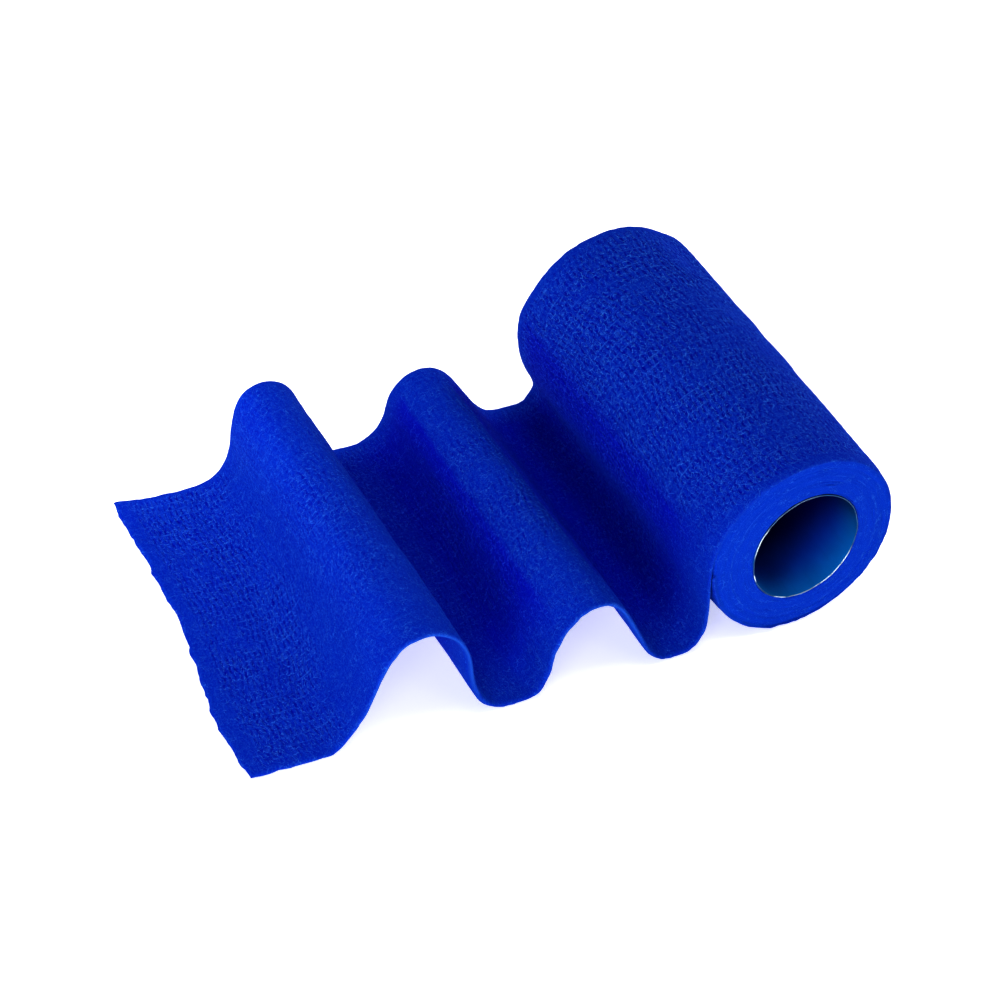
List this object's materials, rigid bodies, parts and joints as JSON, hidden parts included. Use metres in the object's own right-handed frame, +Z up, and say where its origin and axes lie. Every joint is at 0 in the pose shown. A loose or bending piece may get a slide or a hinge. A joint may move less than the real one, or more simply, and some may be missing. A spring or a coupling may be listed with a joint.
{
  "type": "cohesive bandage roll",
  "caption": "Cohesive bandage wound on a thin tube, resting on its side, with its loose end running out in soft standing waves.",
  "frame": {"origin": "under the middle of the object's outer box, on the surface it rests on", "axes": "+X from the cut end towards the roll; +Y along the roll's axis, from the face nearer the camera to the far face; +Z up"},
  "size_m": [0.174, 0.1, 0.0522],
  "materials": {
    "cloth": "matte puckered stretch cloth",
    "core": "smooth satin"
  },
  "bodies": {
    "root": {"bandage": "cloth", "core": "core"}
  },
  "joints": []
}
